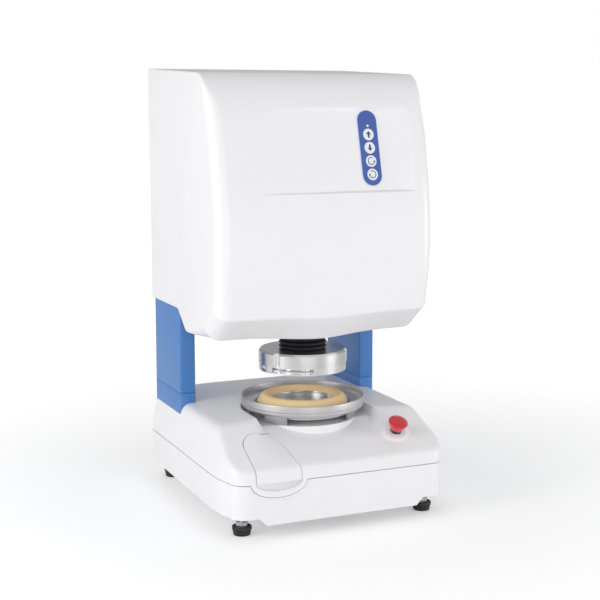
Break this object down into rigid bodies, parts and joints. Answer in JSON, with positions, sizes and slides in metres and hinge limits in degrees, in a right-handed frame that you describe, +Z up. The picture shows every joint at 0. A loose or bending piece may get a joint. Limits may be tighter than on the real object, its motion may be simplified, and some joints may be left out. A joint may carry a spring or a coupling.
{
  "type": "powder flow tester",
  "caption": "Bench powder flow tester: a blue-columned head lowers a steel lid on a bellows-sleeved spindle over a powder-filled annular trough that turns on the base.",
  "frame": {"origin": "middle of the overall box, on the floor under the feet", "axes": "+Z up, -Y out of the front with the keypad, +X to the viewer's right when facing the front"},
  "size_m": [0.381, 0.398, 0.7155],
  "materials": {
    "white_shell": "smooth semi-gloss white moulding",
    "grey_shell": "smooth semi-gloss off-white lower pan",
    "blue_column": "smooth semi-gloss blue",
    "black_rubber": "matte moulded rubber",
    "polished_steel": "turned and lightly polished stainless steel",
    "satin_metal": "satin turned aluminium",
    "powder": "loose fine granular powder",
    "keypad_blue": "matte membrane film",
    "key_light": "matte pale key",
    "lens_green": "clear tinted lens",
    "stop_red": "gloss red moulding",
    "board": "circuit board laminate",
    "dark_plastic": "matte black moulding",
    "machine_steel": "machined steel",
    "machine_aluminium": "milled aluminium",
    "gear_brass": "machined brass",
    "motor_dark": "black motor casing"
  },
  "bodies": {
    "housing": {"back_panel": "grey_shell", "base_cover": "white_shell", "base_pan": "grey_shell", "bellows_collar": "dark_plastic", "drive_frame": "machine_aluminium", "guard_ring": "satin_metal", "guide_rails": "machine_steel", "hatch_pin": "machine_steel", "hatch_well": "dark_plastic", "head_frame": "machine_steel", "head_shell": "white_shell", "key_board": "board", "keypad_plate": "keypad_blue", "left_boot": "blue_column", "left_column": "blue_column", "left_post": "machine_steel", "lift_motor": "motor_dark", "panel_screws": "machine_steel", "power_inlet": "dark_plastic", "rail_brackets": "machine_aluminium", "right_boot": "blue_column", "right_column": "blue_column", "right_post": "machine_steel", "service_plate": "dark_plastic", "status_lens": "lens_green", "stop_collar": "dark_plastic", "stop_contacts": "dark_plastic", "turntable_bearing": "machine_steel", "turntable_motor": "motor_dark"},
    "lid": {"carriage": "machine_aluminium", "screw_nut": "gear_brass", "load_cell": "machine_aluminium", "spindle_shaft": "polished_steel", "lid_disc": "polished_steel", "lid_skirt": "polished_steel", "bellows": "black_rubber"},
    "leadscrew": {"leadscrew": "machine_steel"},
    "turntable": {"turntable": "satin_metal", "turntable_shaft": "machine_steel", "turntable_gear": "gear_brass", "catch_tray": "satin_metal"},
    "pinion": {"pinion": "machine_steel"},
    "trough": {"trough": "satin_metal", "powder_ring": "powder"},
    "hatch": {"hatch_flap": "white_shell"},
    "stop_plunger": {"stop_plunger": "dark_plastic"},
    "stop_button": {"stop_button": "stop_red"},
    "rocker": {"power_rocker": "dark_plastic"},
    "key_up": {"key_up": "key_light"},
    "key_down": {"key_down": "key_light"},
    "key_turn_left": {"key_turn_left": "key_light"},
    "key_turn_right": {"key_turn_right": "key_light"},
    "foot_front_left": {"foot_front_left": "black_rubber", "stud_front_left": "machine_steel"},
    "foot_front_right": {"foot_front_right": "black_rubber", "stud_front_right": "machine_steel"},
    "foot_rear_left": {"foot_rear_left": "black_rubber", "stud_rear_left": "machine_steel"},
    "foot_rear_right": {"foot_rear_right": "black_rubber", "stud_rear_right": "machine_steel"}
  },
  "joints": [
    {"name": "lid_lift", "type": "slide", "parent": "housing", "child": "lid", "axis": [0, 0, 1], "range_m": [-0.042, 0.012], "deforming": ["bellows"]},
    {"name": "screw_turn", "type": "hinge", "parent": "housing", "child": "leadscrew", "pos_m": [0, 0.086, 0.47], "axis": [0, 0, 1], "range_deg": [-1512, 432]},
    {"name": "turntable_turn", "type": "hinge", "parent": "housing", "child": "turntable", "pos_m": [0, -0.0375, 0.16], "axis": [0, 0, 1], "continuous": true},
    {"name": "pinion_turn", "type": "hinge", "parent": "housing", "child": "pinion", "pos_m": [0.05625, -0.0375, 0.118], "axis": [0, 0, 1], "continuous": true},
    {"name": "trough_lift", "type": "slide", "parent": "turntable", "child": "trough", "axis": [0, 0, 1], "range_m": [0, 0.03]},
    {"name": "hatch_open", "type": "hinge", "parent": "housing", "child": "hatch", "pos_m": [-0.107, -0.12469, 0.14337], "axis": [-1, 0, 0], "range_deg": [0, 66]},
    {"name": "stop_press", "type": "slide", "parent": "housing", "child": "stop_plunger", "axis": [0, 0.4736, -0.8807], "range_m": [0, 0.004], "stiffness_N_per_m": 2000},
    {"name": "stop_twist", "type": "hinge", "parent": "stop_plunger", "child": "stop_button", "pos_m": [0.1145, -0.1508, 0.13092], "axis": [0, 0.4736, -0.8807], "range_deg": [0, 30], "stiffness_Nm_per_rad": 0.2},
    {"name": "rocker_tip", "type": "hinge", "parent": "housing", "child": "rocker", "pos_m": [0.087, 0.1915, 0.058], "axis": [1, 0, 0], "range_deg": [0, 16]},
    {"name": "press_up", "type": "slide", "parent": "housing", "child": "key_up", "axis": [-0.0405, 0.9716, -0.2332], "range_m": [0, 0.0008], "stiffness_N_per_m": 500},
    {"name": "press_down", "type": "slide", "parent": "housing", "child": "key_down", "axis": [-0.0405, 0.9716, -0.2332], "range_m": [0, 0.0008], "stiffness_N_per_m": 500},
    {"name": "press_turn_left", "type": "slide", "parent": "housing", "child": "key_turn_left", "axis": [-0.0405, 0.9716, -0.2332], "range_m": [0, 0.0008], "stiffness_N_per_m": 500},
    {"name": "press_turn_right", "type": "slide", "parent": "housing", "child": "key_turn_right", "axis": [-0.0405, 0.9716, -0.2332], "range_m": [0, 0.0008], "stiffness_N_per_m": 500},
    {"name": "level_front_left", "type": "slide", "parent": "housing", "child": "foot_front_left", "axis": [0, 0, -1], "range_m": [0, 0.01]},
    {"name": "level_front_right", "type": "slide", "parent": "housing", "child": "foot_front_right", "axis": [0, 0, -1], "range_m": [0, 0.01]},
    {"name": "level_rear_left", "type": "slide", "parent": "housing", "child": "foot_rear_left", "axis": [0, 0, -1], "range_m": [0, 0.01]},
    {"name": "level_rear_right", "type": "slide", "parent": "housing", "child": "foot_rear_right", "axis": [0, 0, -1], "range_m": [0, 0.01]}
  ],
  "couplings": [
    {"joint": "screw_turn", "follows": "lid_lift", "rad_per_m": 628.32},
    {"joint": "pinion_turn", "follows": "turntable_turn", "ratio": -4}
  ]
}
